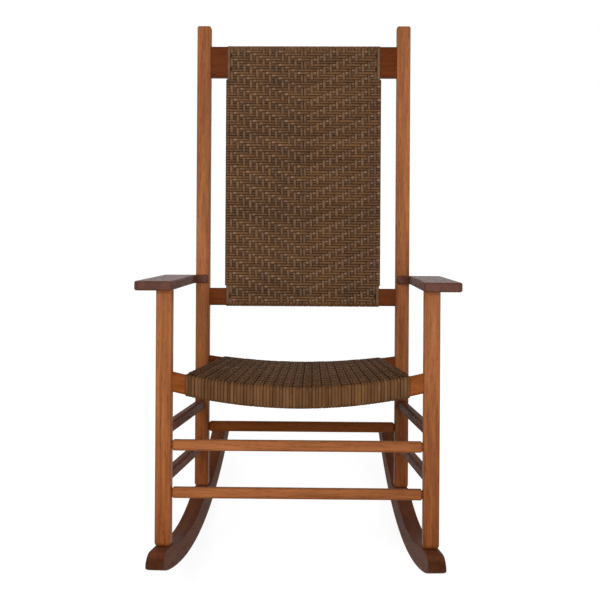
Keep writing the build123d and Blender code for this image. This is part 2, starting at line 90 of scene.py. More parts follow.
# ---------------------------------------------------------------- writing node trees
class Value:
    """What a socket of a node tree carries. Sums written with it become Math nodes."""

    def __init__(self, tree, socket):
        self.tree = tree
        self.socket = socket

    def reckon(self, operation, *others):
        return reckon(self.tree, operation, self, *others)

    def __add__(self, other):
        return self.reckon("ADD", other)

    def __sub__(self, other):
        return self.reckon("SUBTRACT", other)

    def __rsub__(self, other):
        return reckon(self.tree, "SUBTRACT", other, self)

    def __mul__(self, other):
        return self.reckon("MULTIPLY", other)

    def __truediv__(self, other):
        return self.reckon("DIVIDE", other)

    def __neg__(self):
        return self.reckon("MULTIPLY", -1)

    def above(self, limit):
        """1 where the value is greater than the limit, else 0."""
        return self.reckon("GREATER_THAN", limit)

    def below(self, limit):
        """1 where the value is less than the limit, else 0."""
        return self.reckon("LESS_THAN", limit)

    def floor(self):
        return self.reckon("FLOOR")

    def magnitude(self):
        return self.reckon("ABSOLUTE")


def give(socket, value):
    """Sets an input socket, or links it to what another node carries."""
    if isinstance(value, Value):
        value.tree.links.new(value.socket, socket)
    else:
        socket.default_value = value


def add_node(tree, kind, inputs=None, **settings):
    """Adds a node with its settings made and its named inputs given."""
    made = tree.nodes.new(kind)
    for name, setting in settings.items():
        setattr(made, name, setting)
    for name, value in (inputs or {}).items():
        give(made.inputs[name], value)
    return made


def out_of(tree, kind, inputs=None, output=0, **settings):
    """Adds a node and returns what one of its outputs carries."""
    return Value(tree, add_node(tree, kind, inputs, **settings).outputs[output])


def reckon(tree, operation, *values):
    """Adds a Math node that takes these values in order."""
    made = add_node(tree, "ShaderNodeMath", operation=operation)
    for socket, value in zip(made.inputs, values):
        give(socket, value)
    return Value(tree, made.outputs[0])


def vector(tree, x, y, z):
    """One vector from three values."""
    return out_of(tree, "ShaderNodeCombineXYZ", {"X": x, "Y": y, "Z": z})


def part_of(tree, place, axis):
    """One part of a vector: 0, 1 or 2 for X, Y or Z."""
    return out_of(tree, "ShaderNodeSeparateXYZ", {"Vector": place}, output=axis)


def new_tree(name, kind, inputs, outputs):
    """A node tree, what its named inputs carry, and the node that takes its outputs."""
    tree = bpy.data.node_groups.new(name, kind)
    for socket_name, socket_kind, value in inputs:
        socket = tree.interface.new_socket(socket_name, in_out="INPUT", socket_type=socket_kind)
        if value is not None:
            socket.default_value = value
    for socket_name, socket_kind in outputs:
        tree.interface.new_socket(socket_name, in_out="OUTPUT", socket_type=socket_kind)
    entry = tree.nodes.new("NodeGroupInput")
    given = {socket.name: Value(tree, socket) for socket in entry.outputs if socket.name}
    return tree, given, tree.nodes.new("NodeGroupOutput")


def use(tree, group, inputs):
    """Places a node group in a tree and returns what its outputs carry, by name."""
    kind = "GeometryNodeGroup" if tree.bl_idname == "GeometryNodeTree" else "ShaderNodeGroup"
    made = tree.nodes.new(kind)
    made.node_tree = group
    for name, value in inputs.items():
        give(made.inputs[name], value)
    return {socket.name: Value(tree, socket) for socket in made.outputs}


# ---------------------------------------------------------------- node groups of the weave
def make_loop_group():
    """A closed path round a flat core with rounded corners.

    Steps count from the start of its upper side, along that side, round the far end and back
    along the lower side.
    """
    tree, given, result = new_tree(
        "path round the core",
        "GeometryNodeTree",
        [
            ("Step", "NodeSocketFloat", 0),
            ("Long steps", "NodeSocketFloat", 10),
            ("Long half", "NodeSocketFloat", 0.1),
            ("Short half", "NodeSocketFloat", 0.01),
            ("Bend radius", "NodeSocketFloat", 0.005),
        ],
        [
            ("Along", "NodeSocketFloat"),
            ("Level", "NodeSocketFloat"),
            ("Out along", "NodeSocketFloat"),
            ("Out level", "NodeSocketFloat"),
        ],
    )
    step, long_steps = given["Step"], given["Long steps"]
    long_half, short_half = given["Long half"], given["Short half"]

    def passed(start, steps):
        """From 0 to 1 while the path runs through this stretch."""
        return out_of(tree, "ShaderNodeClamp", {"Value": (step - start) / steps})

    def end_from(start):
        """The first bend of an end, the short side after it, and the second bend."""
        first = passed(start, BEND_STEPS)
        side = passed(start + BEND_STEPS, 1)
        return first, side, passed(start + BEND_STEPS + 1, BEND_STEPS)

    half_way = long_steps + 2 * BEND_STEPS + 1
    bend_1, short_1, bend_2 = end_from(long_steps)
    bend_3, short_2, bend_4 = end_from(half_way + long_steps)
    turn = (bend_1 + bend_2 + bend_3 + bend_4) * (pi / 2)
    out_along, out_level = turn.reckon("SINE"), turn.reckon("COSINE")
    long_way = (passed(0, long_steps) - passed(half_way, long_steps)) * 2 - 1
    short_way = 1 - (short_1 - short_2) * 2
    give(result.inputs["Along"], long_way * long_half + out_along * given["Bend radius"])
    give(result.inputs["Level"], short_way * short_half + out_level * given["Bend radius"])
    give(result.inputs["Out along"], out_along)
    give(result.inputs["Out level"], out_level)
    return tree


def make_twill_group():
    """Which way a crossing goes: 1 where the crosswise splint lies over the group, and -1 under it.

    The crosswise splints pass over as many groups as the float length, then under the rest of the
    repeat, one row lower at each group. The left half mirrors the right. With an outer drop of 1
    the outer half of each group always stays under.
    """
    tree, given, result = new_tree(
        "twill",
        "GeometryNodeTree",
        [
            ("Group", "NodeSocketFloat", 0),
            ("Groups", "NodeSocketFloat", 24),
            ("Row", "NodeSocketFloat", 0),
            ("Float length", "NodeSocketFloat", 3),
            ("Beside", "NodeSocketFloat", 0),
            ("Outer drop", "NodeSocketFloat", 0),
        ],
        [("Over", "NodeSocketFloat")],
    )
    side = given["Group"] - (given["Groups"] - 1) / 2
    from_middle = side.magnitude() - 0.5
    place = (given["Row"] - from_middle + 0.5).reckon("FLOORED_MODULO", REPEAT)
    over = place.below(given["Float length"] - 0.5)
    outer = (given["Beside"] * side).above(0) * given["Outer drop"]
    give(result.inputs["Over"], over.reckon("MAXIMUM", outer) * 2 - 1)
    return tree


def stored(tree, name, kind):
    """What mark() stored on each point of a mesh under this name."""
    return out_of(tree, "GeometryNodeInputNamedAttribute", {"Name": name}, data_type=kind)


def mark(tree, geometry, name, kind, value):
    """Stores a value on each point under a name that a later step or a finish can read."""
    return out_of(
        tree,
        "GeometryNodeStoreNamedAttribute",
        {"Geometry": geometry, "Name": name, "Value": value},
        data_type=kind,
        domain="POINT",
    )


def make_splint_group():
    """Turns rows of points into flat splints with rounded backs."""
    tree, given, result = new_tree(
        "splints",
        "GeometryNodeTree",
        [
            ("Points", "NodeSocketGeometry", None),
            ("Steps", "NodeSocketFloat", 10),
            ("Closed", "NodeSocketBool", False),
            ("Width", "NodeSocketFloat", 0.007),
            ("Thickness", "NodeSocketFloat", SPLINT_THICKNESS),
            ("Sides", "NodeSocketInt", LENGTHWISE_SIDES),
        ],
        [("Splints", "NodeSocketGeometry")],
    )
    index = out_of(tree, "GeometryNodeInputIndex")
    between_rows = (index + 1).reckon("FLOORED_MODULO", given["Steps"]).below(0.5)
    apart = out_of(
        tree,
        "GeometryNodeDeleteGeometry",
        {"Geometry": given["Points"], "Selection": between_rows},
        domain="EDGE",
        mode="EDGE_FACE",
    )
    lines = out_of(tree, "GeometryNodeMeshToCurve", {"Mesh": apart})
    lines = out_of(tree, "GeometryNodeSetSplineCyclic", {"Geometry": lines, "Cyclic": given["Closed"]})
    outward = stored(tree, "outward", "FLOAT_VECTOR")
    lines = out_of(tree, "GeometryNodeSetCurveNormal", {"Curve": lines, "Normal": outward}, mode="FREE")
    circle = out_of(tree, "GeometryNodeCurvePrimitiveCircle", {"Resolution": given["Sides"], "Radius": 0.5})
    place = out_of(tree, "GeometryNodeInputPosition")
    rise, aside = part_of(tree, place, 0), part_of(tree, place, 1)
    circle = mark(tree, circle, "rim", "FLOAT", aside.magnitude() * 2)
    flatter = (rise.magnitude() * 2).reckon("POWER", FLATNESS) * rise.reckon("SIGN") / 2
    drawn = vector(tree, flatter * given["Thickness"], aside * given["Width"], 0.0)
    profile = out_of(tree, "GeometryNodeSetPosition", {"Geometry": circle, "Position": drawn})
    slimness = stored(tree, "slimness", "FLOAT")
    skin = out_of(
        tree, "GeometryNodeCurveToMesh", {"Curve": lines, "Profile Curve": profile, "Scale": slimness}
    )
    give(result.inputs["Splints"], skin)
    return tree


# ---------------------------------------------------------------- weaving trees
# A panel lies flat here. Its splints run along Y (lengthwise) and X (crosswise), in two layers,
# above and below its middle surface. Points remember these marks:
#   outward   the way that the splint's back faces
#   slimness  the splint's width there, as a share of its full width
#   tone      a random number for each splint
#   reach     place along the splint
#   height    1 where the splint lies on top at a crossing, and -1 where it lies underneath
#   group     place across, counted in groups, so that a whole number is a seam between two
#   climb     1 where a crosswise splint has just come up beside the end of a lengthwise float;
#             the finish paints a highlight there
# and the splints' section adds one:
#   rim       0 on the middle line of a splint and 1 at its edges
PANEL_INPUTS = [
    ("Groups", "NodeSocketInt", 24),               # of lengthwise splints, side by side
    ("Splints in a group", "NodeSocketInt", 2),
    ("Group share", "NodeSocketFloat", 0.95),      # how much of its pitch a group fills
    ("Float length", "NodeSocketFloat", 3),        # groups that a crosswise splint passes over
    ("Outer drop", "NodeSocketFloat", 0),          # 1 where the outer half of a group stays under
    ("Rows", "NodeSocketInt", 94),                 # of crosswise splints
    ("Centre", "NodeSocketFloat", BACK_MIDDLE),    # middle of the panel, along Y
    ("Long half", "NodeSocketFloat", BACK_HALF_HEIGHT),    # from there to where the ends turn
    ("Run", "NodeSocketFloat", 1),                 # Y of the panel's end, where its start is at 0
    ("Half at start", "NodeSocketFloat", BACK_HALF),       # half width
    ("Half at end", "NodeSocketFloat", BACK_HALF),
    ("Middle at start", "NodeSocketFloat", 0),     # height of the dished middle surface, at X = 0
    ("Middle at end", "NodeSocketFloat", 0),
    ("Rise at start", "NodeSocketFloat", 0),       # from there to its side edge
    ("Rise at end", "NodeSocketFloat", 0),
    ("Layer level", "NodeSocketFloat", RAIL_FACE + FACE_LIFT),    # of each layer off that surface
    ("Bend radius", "NodeSocketFloat", BACK_BEND),
    ("First looped row", "NodeSocketInt", 0),      # from here on, rows turn round the side edges
    ("Row after loops", "NodeSocketInt", 94),      # and from here on they stop inside them again
    ("Sway", "NodeSocketFloat", SWAY),
    ("Seed", "NodeSocketInt", 1),
    ("Material", "NodeSocketMaterial", None),
]


class Panel:
    """A weaving tree: its inputs, the shape of its panel, and the steps that both trees take."""

    def __init__(self, name, twill):
        self.tree, self.given, self.result = new_tree(
            name, "GeometryNodeTree", PANEL_INPUTS, [("Geometry", "NodeSocketGeometry")]
        )
        self.twill = twill
        self.index = out_of(self.tree, "GeometryNodeInputIndex")
        self.row_pitch = self.given["Long half"] * 2 / (self.given["Rows"] + 1)

    def evenly(self, start, end, run):
        """A size that changes evenly from the panel's start to its end."""
        given = self.given
        return given[start] + (given[end] - given[start]) * (run / given["Run"])

    def half_at(self, run):
        """Half width of the panel."""
        return self.evenly("Half at start", "Half at end", run)

    def middle_at(self, across, run):
        """Height of the panel's middle surface."""
        share = across / self.half_at(run)
        lowest = self.evenly("Middle at start", "Middle at end", run)
        return lowest + self.evenly("Rise at start", "Rise at end", run) * (share * share)

    def over(self, group, row, beside):
        """1 where the crosswise splint of a row lies over the group, and -1 where it lies under."""
        asked = {"Group": group, "Row": row, "Beside": beside}
        for name in ("Groups", "Float length", "Outer drop"):
            asked[name] = self.given[name]
        return use(self.tree, self.twill, asked)["Over"]

    def scatter(self, which, low, high, offset):
        """A fixed random number for each splint. The offset tells the uses apart."""
        made = add_node(
            self.tree,
            "FunctionNodeRandomValue",
            {"ID": which, "Seed": self.given["Seed"] + offset},
            data_type="FLOAT",
        )
        low_limit, high_limit = made.inputs[2:4]    # the pair for decimal numbers
        low_limit.default_value = low
        high_limit.default_value = high
        return Value(self.tree, made.outputs[1])

    def stray(self, which, offset):
        """How far a splint lies off its own line."""
        return self.scatter(which, -STRAY, STRAY, offset)

    def lay(self, count, place, outward, marks):
        """Points put at their places, with their marks."""
        tree = self.tree
        line = out_of(tree, "GeometryNodeMeshLine", {"Count": count})
        where = vector(tree, *place)
        points = out_of(tree, "GeometryNodeSetPosition", {"Geometry": line, "Position": where})
        points = mark(tree, points, "outward", "FLOAT_VECTOR", vector(tree, *outward))
        for name, value in marks.items():
            points = mark(tree, points, name, "FLOAT", value)
        return points

    def finish(self, parts):
        """Ends the tree with one plain mesh in its material."""
        tree = self.tree
        joined = tree.nodes.new("GeometryNodeJoinGeometry")
        for part in parts:
            tree.links.new(part.socket, joined.inputs[0])
        whole = out_of(tree, "GeometryNodeRealizeInstances", {"Geometry": Value(tree, joined.outputs[0])})
        smooth = out_of(tree, "GeometryNodeSetShadeSmooth", {"Geometry": whole})
        material = self.given["Material"]
        done = out_of(tree, "GeometryNodeSetMaterial", {"Geometry": smooth, "Material": material})
        give(self.result.inputs["Geometry"], done)
        return tree


def make_lengthwise_tree(loop, twill, splints):
    """Groups of splints that run the length of the panel and turn round both of its rails."""
    panel = Panel("lengthwise splints", twill)
    given = panel.given
    groups, rows, in_group = given["Groups"], given["Rows"], given["Splints in a group"]
    long_steps = rows + 1
    steps = long_steps * 2 + TURNING_STEPS
    splint = (panel.index / steps).floor()
    step = panel.index - splint * steps
    path = use(
        panel.tree,
        loop,
        {
            "Step": step,
            "Long steps": long_steps,
            "Long half": given["Long half"],
            "Short half": given["Layer level"] - given["Bend radius"],
            "Bend radius": given["Bend radius"],
        },
    )
    group = (splint / in_group).floor()
    beside = splint - group * in_group - (in_group - 1) / 2
    row = (path["Along"] / panel.row_pitch + (rows - 1) / 2).reckon("ROUND")

    # Past the first and last rows nothing crosses, and where the rows are not looped nothing
    # crosses the outermost splints
    in_rows = row.above(-0.5) * row.below(rows - 0.5)
    not_looped = row.below(given["First looped row"] - 0.5) + row.above(given["Row after loops"] - 0.5)
    from_middle = (splint - (groups * in_group - 1) / 2).magnitude()
    outermost = from_middle.above(groups * in_group / 2 - 1)
    crossed = in_rows * (1 - outermost * not_looped)
    lift = -panel.over(group, row, beside) * crossed * given["Sway"]

    run = given["Centre"] + path["Along"] + lift * path["Out along"]
    field = panel.half_at(run) - EDGE_ROOM
    group_pitch = field * 2 / groups
    splint_pitch = group_pitch * given["Group share"] / in_group
    group_middle = (group + 0.5 - groups / 2) * group_pitch
    across = group_middle + beside * splint_pitch + panel.stray(splint, 0)
    level = path["Level"] + lift * path["Out level"]
    widest_field = given["Half at start"] - EDGE_ROOM
    points = panel.lay(
        steps * groups * in_group,
        (across, run, panel.middle_at(across, run) + level),
        (0.0, path["Out along"], path["Out level"]),
        {
            "tone": panel.scatter(splint, 0, 1, 7),
            "reach": step * panel.row_pitch,
            "height": lift / given["Sway"] + 1 - crossed,
            "group": 0.5,
            "climb": 0.0,
            "slimness": field / widest_field,
        },
    )
    width = widest_field * 2 / groups * given["Group share"] / in_group * LENGTHWISE_FILL
    section = {"Closed": True, "Width": width, "Sides": LENGTHWISE_SIDES}
    made = use(panel.tree, splints, {"Points": points, "Steps": steps, **section})
    return panel.finish([made["Splints"]])


def crossings(panel, across, field, group_pitch, row):
    """Height and climb of a crosswise splint, before it bends away or tucks under."""

    def over_at(row, steps_aside):
        place = (across + field) / group_pitch + steps_aside / CROSS_STEPS
        group = place.floor().reckon("MAXIMUM", 0).reckon("MINIMUM", panel.given["Groups"] - 1)
        return panel.over(group, row, place - group - 0.5)

    earlier, before, here, after = (over_at(row, steps) for steps in (-2, -1, 0, 1))
    risen = (here - earlier) / 2
    float_ends = (over_at(row + 1, -2) + 1) / 2
    return (before + here + after) / 3, risen * float_ends


def row_place(panel, row):
    """Where a row lies along the panel, with the half width of its groups and their pitch."""
    run = panel.given["Centre"] + (row - (panel.given["Rows"] - 1) / 2) * panel.row_pitch
    field = panel.half_at(run) - EDGE_ROOM
    return run, field, field * 2 / panel.given["Groups"]


def crosswise_section(panel, closed):
    """How a crosswise splint is drawn."""
    return {"Closed": closed, "Width": panel.row_pitch * CROSSWISE_FILL, "Sides": CROSSWISE_SIDES}


def add_looped_rows(panel, loop, splints):
    """Crosswise splints between the rails, which turn round the panel's side edges."""
    given = panel.given
    long_steps = given["Groups"] * CROSS_STEPS - 1
    steps = long_steps * 2 + TURNING_STEPS
    splint = (panel.index / steps).floor()
    row = splint + given["First looped row"]
    run, field, group_pitch = row_place(panel, row)
    long_half = field - group_pitch / (2 * CROSS_STEPS)
    edge_radius = panel.half_at(run) - SPLINT_THICKNESS / 2 - long_half
    path = use(
        panel.tree,
        loop,
        {
            "Step": panel.index - splint * steps,
            "Long steps": long_steps,
            "Long half": long_half,
            "Short half": given["Layer level"] - edge_radius,
            "Bend radius": edge_radius,
        },
    )
    height, climb = crossings(panel, path["Along"], field, group_pitch, row)
    facing = path["Out level"].magnitude()
    lift = height * given["Sway"] * facing
    across = path["Along"] + lift * path["Out along"]
    level = panel.middle_at(across, run) + path["Level"] + lift * path["Out level"]
    points = panel.lay(
        steps * (given["Row after loops"] - given["First looped row"]),
        (across, run + panel.stray(splint, 1), level),
        (path["Out along"], 0.0, path["Out level"]),
        {
            "tone": panel.scatter(splint, 0, 1, 8),
            "reach": path["Along"],
            "height": height * facing + 1 - facing,
            "group": (path["Along"] + field) / group_pitch,
            "climb": climb * facing,
            "slimness": 1.0,
        },
    )
    section = crosswise_section(panel, closed=True)
    return use(panel.tree, splints, {"Points": points, "Steps": steps, **section})["Splints"]


def add_tucked_rows(panel, splints):
    """Crosswise splints over the rails, which stop inside the outermost groups and tuck under them.

    Those before the looped rows come first, then those after, each as an upper and a lower strip.
    """
    given = panel.given
    looped_rows = given["Row after loops"] - given["First looped row"]
    steps = given["Groups"] * CROSS_STEPS - CROSS_STEPS
    strip = (panel.index / steps).floor()
    side = 1 - strip.reckon("FLOORED_MODULO", 2) * 2
    which = (strip / 2).floor()
    row = which + which.above(given["First looped row"] - 0.5) * looped_rows
    run, field, group_pitch = row_place(panel, row)
    step = panel.index - strip * steps
    across = (step - (steps - 1) / 2) * group_pitch / CROSS_STEPS
    height, climb = crossings(panel, across, field, group_pitch, row)
    inside = step.above(0.5) * step.below(steps - 1.5)
    lift = (height * inside - (1 - inside)) * given["Sway"]
    level = panel.middle_at(across, run) + (given["Layer level"] + lift) * side
    points = panel.lay(
        steps * 2 * (given["Rows"] - looped_rows),
        (across, run + panel.stray(strip, 2), level),
        (0.0, 0.0, side),
        {
            "tone": panel.scatter(strip, 0, 1, 9),
            "reach": across,
            "height": lift / given["Sway"],
            "group": (across + field) / group_pitch,
            "climb": climb * inside,
            "slimness": 1.0,
        },
    )
    section = crosswise_section(panel, closed=False)
    return use(panel.tree, splints, {"Points": points, "Steps": steps, **section})["Splints"]


def make_crosswise_tree(loop, twill, splints):
    """Splints that run across the panel, one to a row."""
    panel = Panel("crosswise splints", twill)
    return panel.finish([add_looped_rows(panel, loop, splints), add_tucked_rows(panel, splints)])


def weave(name, tree, values, placing):
    """Runs a weaving tree and keeps its mesh, put in its place in the chair."""
    piece = bpy.data.objects.new(name, bpy.data.meshes.new(name))
    bpy.context.scene.collection.objects.link(piece)
    modifier = piece.modifiers.new("weaving", "NODES")
    modifier.node_group = tree
    for item in tree.interface.items_tree:
        if item.in_out == "INPUT" and item.name in values:
            modifier[item.identifier] = values[item.name]
    bpy.context.view_layer.update()
    mesh = bpy.data.meshes.new_from_object(piece.evaluated_get(bpy.context.evaluated_depsgraph_get()))
    piece.modifiers.clear()
    piece.data = mesh
    mesh.name = name
    mesh.transform(CHAIR @ placing)
    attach(piece, "root")
    return piece


# ---------------------------------------------------------------- finishes
UPRIGHT = (1, 1, 0.05)         # how a pattern is drawn out along the grain
ACROSS = (0.05, 1, 1)
LENGTHWISE = (1, 0.05, 1)
FOOT_HEIGHTS = (0.05, 0.65)    # the darker foot of a post fades out between these heights
FOOT_TINT = (0.68, 0.56, 0.40, 1)
END_DISTANCES = (0.395, 0.415)    # a rocker's end grain sets in between these, front and back
BLACK = (0, 0, 0, 1)
PAINTED_SHADE = (0.008, 0.003, 0.001, 1)    # painted shade in the gaps and low places between splints
PAINTED_GLINT = (0.35, 0.22, 0.145, 1)        # painted highlight where a crosswise splint comes up and catches the light
STREAK_SCALE = 60              # streaks to a metre of splint
STREAK_SPREAD = 900            # keeps the streaks of one splint apart from those of the next


def ramp(tree, value, low, high):
    """0 below the low value, 1 above the high one, and smooth between."""
    return out_of(
        tree,
        "ShaderNodeMapRange",
        {"Value": value, "From Min": low, "From Max": high},
        interpolation_type="SMOOTHSTEP",
    )


def mix(tree, share, first, second, way="MIX"):
    """Blends two colours."""
    made = add_node(tree, "ShaderNodeMix", data_type="RGBA", blend_type=way)
    first_color, second_color = made.inputs[6:8]
    give(made.inputs["Factor"], share)
    give(first_color, first)
    give(second_color, second)
    return Value(tree, made.outputs[2])


def noise(tree, place, scale, detail=2.0, roughness=0.5, distortion=0.0):
    """A cloudy pattern between 0 and 1."""
    return out_of(
        tree,
        "ShaderNodeTexNoise",
        {
            "Vector": place,
            "Scale": scale,
            "Detail": detail,
            "Roughness": roughness,
            "Distortion": distortion,
        },
    )


FINISH_OUTPUTS = [
    ("Color", "NodeSocketColor"),
    ("Roughness", "NodeSocketFloat"),
    ("Height", "NodeSocketFloat"),
]


def make_grain_group():
    """Wood grain: growth figure, fine streaks and pores, all drawn out along the piece."""
    tree, given, result = new_tree(
        "wood grain",
        "ShaderNodeTree",
        [
            ("Along", "NodeSocketVector", UPRIGHT),
            ("Light", "NodeSocketColor", (0.4, 0.15, 0.06, 1)),
            ("Deep", "NodeSocketColor", (0.2, 0.07, 0.03, 1)),
            ("Pore", "NodeSocketColor", (0.08, 0.03, 0.015, 1)),
            ("Foot shade", "NodeSocketFloat", 0.0),
            ("End shade", "NodeSocketFloat", 0.0),
        ],
        FINISH_OUTPUTS,
    )
    place = out_of(tree, "ShaderNodeTexCoord", output="Object")
    turned = out_of(
        tree,
        "ShaderNodeVectorRotate",
        {"Vector": place, "Axis": (1, 0, 0), "Angle": LEAN},
        rotation_type="AXIS_ANGLE",
    )
    drawn = out_of(
        tree, "ShaderNodeVectorMath", {0: turned, 1: given["Along"]}, operation="MULTIPLY"
    )
    figure = ramp(tree, noise(tree, drawn, 42, detail=3, roughness=0.55, distortion=0.8), 0.35, 0.68)
    streaks = ramp(tree, noise(tree, drawn, 260, detail=3, roughness=0.6), 0.3, 0.7)
    cloud = ramp(tree, noise(tree, drawn, 9), 0.3, 0.7)
    pores = ramp(tree, noise(tree, drawn, 900, detail=1), 0.60, 0.72)
    color = mix(tree, figure * 0.45 + streaks * 0.35 + cloud * 0.2, given["Deep"], given["Light"])
    color = mix(tree, pores * 0.6, color, given["Pore"])
    low_down = 1 - ramp(tree, part_of(tree, place, 2), *FOOT_HEIGHTS)
    color = mix(tree, low_down * given["Foot shade"], color, FOOT_TINT, "MULTIPLY")
    end_grain = ramp(tree, part_of(tree, place, 1).magnitude(), *END_DISTANCES)
    color = mix(tree, end_grain * given["End shade"], color, BLACK)
    give(result.inputs["Color"], color)
    give(result.inputs["Roughness"], streaks * 0.14 + pores * 0.2 + 0.36)
    give(result.inputs["Height"], streaks * 0.3 + figure * 0.2 - pores)
    return tree


def make_bark_group():
    """Bark splint: a tone for each strip, streaks along it, painted shade where it is hidden and a painted
    highlight where it comes up.
    """
    tree, given, result = new_tree(
        "bark splint",
        "ShaderNodeTree",
        [
            ("Light", "NodeSocketColor", (0.2, 0.09, 0.03, 1)),
            ("Deep", "NodeSocketColor", (0.06, 0.025, 0.009, 1)),
            ("Polish", "NodeSocketFloat", 0.0),
            ("Crossing shade", "NodeSocketFloat", 0.8),
            ("Rim shade", "NodeSocketFloat", 0.1),
            ("Seam shade", "NodeSocketFloat", 0.0),
            ("Painted glint", "NodeSocketFloat", 0.1),
        ],
        FINISH_OUTPUTS,
    )
    tone, reach, rim, height, group, climb = (
        out_of(tree, "ShaderNodeAttribute", attribute_name=name, output="Fac")
        for name in ("tone", "reach", "rim", "height", "group", "climb")
    )
    place = out_of(tree, "ShaderNodeTexCoord", output="Object")
    streak_place = vector(tree, reach * STREAK_SCALE, tone * STREAK_SPREAD, 0.0)
    streaks = ramp(tree, noise(tree, streak_place, 1.0), 0.3, 0.7)
    fibre = noise(tree, place, 700.0)
    patches = ramp(tree, noise(tree, place, 14.0), 0.3, 0.7)
    lightness = tone * 0.45 + streaks * 0.25 + ramp(tree, fibre, 0.3, 0.7) * 0.15 + patches * 0.15
    color = mix(tree, lightness, given["Deep"], given["Light"])

    # Painted shade: dark at the splints' edges, on their parts hidden under a crossing, and at the seams
    # between groups
    rim_shade = ramp(tree, rim, 0.6, 1.0) * given["Rim shade"]
    crossings = ramp(tree, -height, -0.9, 0.6) * given["Crossing shade"]
    off_middle = (group.reckon("FRACT") - 0.5).magnitude()
    seam_shade = ramp(tree, off_middle, 0.28, 0.5) * given["Seam shade"]
    color = mix(tree, rim_shade + crossings + seam_shade, color, PAINTED_SHADE)

    # Painted highlight: pale where a crosswise splint comes up above a float's end and catches the light
    glint_mask = ramp(tree, climb, 0.0, 0.7) * ramp(tree, height, -0.6, 0.3) * (tone * 0.8 + 0.6)
    give(result.inputs["Color"], mix(tree, glint_mask * given["Painted glint"], color, PAINTED_GLINT))
    give(result.inputs["Roughness"], ramp(tree, fibre, 0.2, 0.8) * 0.12 + 0.5 - given["Polish"])
    give(result.inputs["Height"], fibre)
    return tree


def new_material(name):
    """A material, its node tree and its main shader."""
    material = bpy.data.materials.new(name)
    material.use_nodes = True
    tree = material.node_tree
    return material, tree, tree.nodes["Principled BSDF"]


def new_finish(name, group, values, gloss, relief, strength):
    """A material whose colour, roughness and relief come from a node group."""
    material, tree, shader = new_material(name)
    made = use(tree, group, values)
    give(shader.inputs["Base Color"], made["Color"])
    give(shader.inputs["Roughness"], made["Roughness"])
    shader.inputs["Specular IOR Level"].default_value = gloss
    bump = {"Strength": strength, "Distance": relief, "Height": made["Height"]}
    give(shader.inputs["Normal"], out_of(tree, "ShaderNodeBump", bump))
    return material


grain = make_grain_group()
bark = make_bark_group()


def wood_finish(name, along, colors, gloss, foot_shade=0.0, end_shade=0.0):
    """An oiled wood with its grain along one direction of the chair."""
    light, deep, pore = colors
    values = {
        "Along": along,
        "Light": (*light, 1),
        "Deep": (*deep, 1),
        "Pore": (*pore, 1),
        "Foot shade": foot_shade,
        "End shade": end_shade,
    }
    return new_finish(name, grain, values, gloss, relief=0.0002, strength=0.5)


def splint_finish(name, light, deep, gloss, crossings, rim_shade, seam_shade, glint):
    """Woven splint. The last four say how much shade is painted on its hidden parts, and how bright the
    painted highlight is where it comes up.
    """
    values = {
        "Light": (*light, 1),
        "Deep": (*deep, 1),
        "Polish": gloss * 0.8,
        "Crossing shade": crossings,
        "Rim shade": rim_shade,
        "Seam shade": seam_shade,
        "Painted glint": glint,
    }
    return new_finish(name, bark, values, gloss, relief=0.0003, strength=0.35)


# ---------------------------------------------------------------- the woven back and seat
BACK = {
    "Groups": 24,
    "Splints in a group": 2,
    "Group share": 0.95,
    "Float length": 3.0,
    "Outer drop": 1.0,
    "Rows": 94,
    "Centre": BACK_MIDDLE,
    "Long half": BACK_HALF_HEIGHT + EDGE_LIFT - BACK_BEND,
    "Run": 1.0,
    "Half at start": BACK_HALF,
    "Half at end": BACK_HALF,
    "Middle at start": 0.0,
    "Middle at end": 0.0,
    "Rise at start": 0.0,
    "Rise at end": 0.0,
    "Layer level": RAIL_FACE + FACE_LIFT,
    "Bend radius": BACK_BEND,
    "First looped row": 6,
    "Row after loops": 83,
    "Sway": SWAY,
    "Seed": 3,
    "Material": splint_finish(
        "splint of the back",
        light=(0.190, 0.087, 0.030),
        deep=(0.057, 0.024, 0.008),
        gloss=0.19,
        crossings=0.8,
        rim_shade=0.08,
        seam_shade=0.0,
        glint=0.38,
    ),
}
SEAT = {
    "Groups": 23,
    "Splints in a group": 3,
    "Group share": 0.96,
    "Float length": 2.0,
    "Outer drop": 0.0,
    "Rows": 68,
    "Centre": FRAME_DEPTH / 2,
    "Long half": FRAME_DEPTH / 2 + (RAIL_FACE + FACE_LIFT) - SEAT_BEND,
    "Run": FRAME_DEPTH,
    "Half at start": SEAT_HALF_FRONT,
    "Half at end": SEAT_HALF_REAR,
    "Middle at start": SEAT_FRONT_MIDDLE - SEAT_RAIL_HEIGHT / 2,
    "Middle at end": SEAT_REAR_MIDDLE - SEAT_RAIL_HEIGHT / 2,
    "Rise at start": dish_rise(FRONT_DISH, SEAT_HALF_FRONT),
    "Rise at end": dish_rise(REAR_DISH, SEAT_HALF_REAR),
    "Layer level": SEAT_RAIL_HEIGHT / 2 + FACE_LIFT,
    "Bend radius": SEAT_BEND,
    "First looped row": 3,
    "Row after loops": 65,
    "Sway": SWAY,
    "Seed": 11,
    "Material": splint_finish(
        "splint of the seat",
        light=(0.215, 0.102, 0.044),
        deep=(0.062, 0.027, 0.010),
        gloss=0.012,
        crossings=1.0,
        rim_shade=0.35,
        seam_shade=0.55,
        glint=0.1,
    ),
}
weaving_groups = (make_loop_group(), make_twill_group(), make_splint_group())
weaving_trees = {
    "lengthwise": make_lengthwise_tree(*weaving_groups),
    "crosswise": make_crosswise_tree(*weaving_groups),
}
upright = Matrix.Translation((0, FRAME_DEPTH, 0)) @ Matrix.Rotation(pi / 2, 4, "X")
woven = {
    "woven_back": (BACK, upright),
    "woven_seat": (SEAT, Matrix.Identity(4)),
}
for cad_name, (values, placing) in woven.items():
    for way, tree in weaving_trees.items():
        piece = weave(f"{cad_name}_{way}", tree, values, placing)
        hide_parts(cad_name)

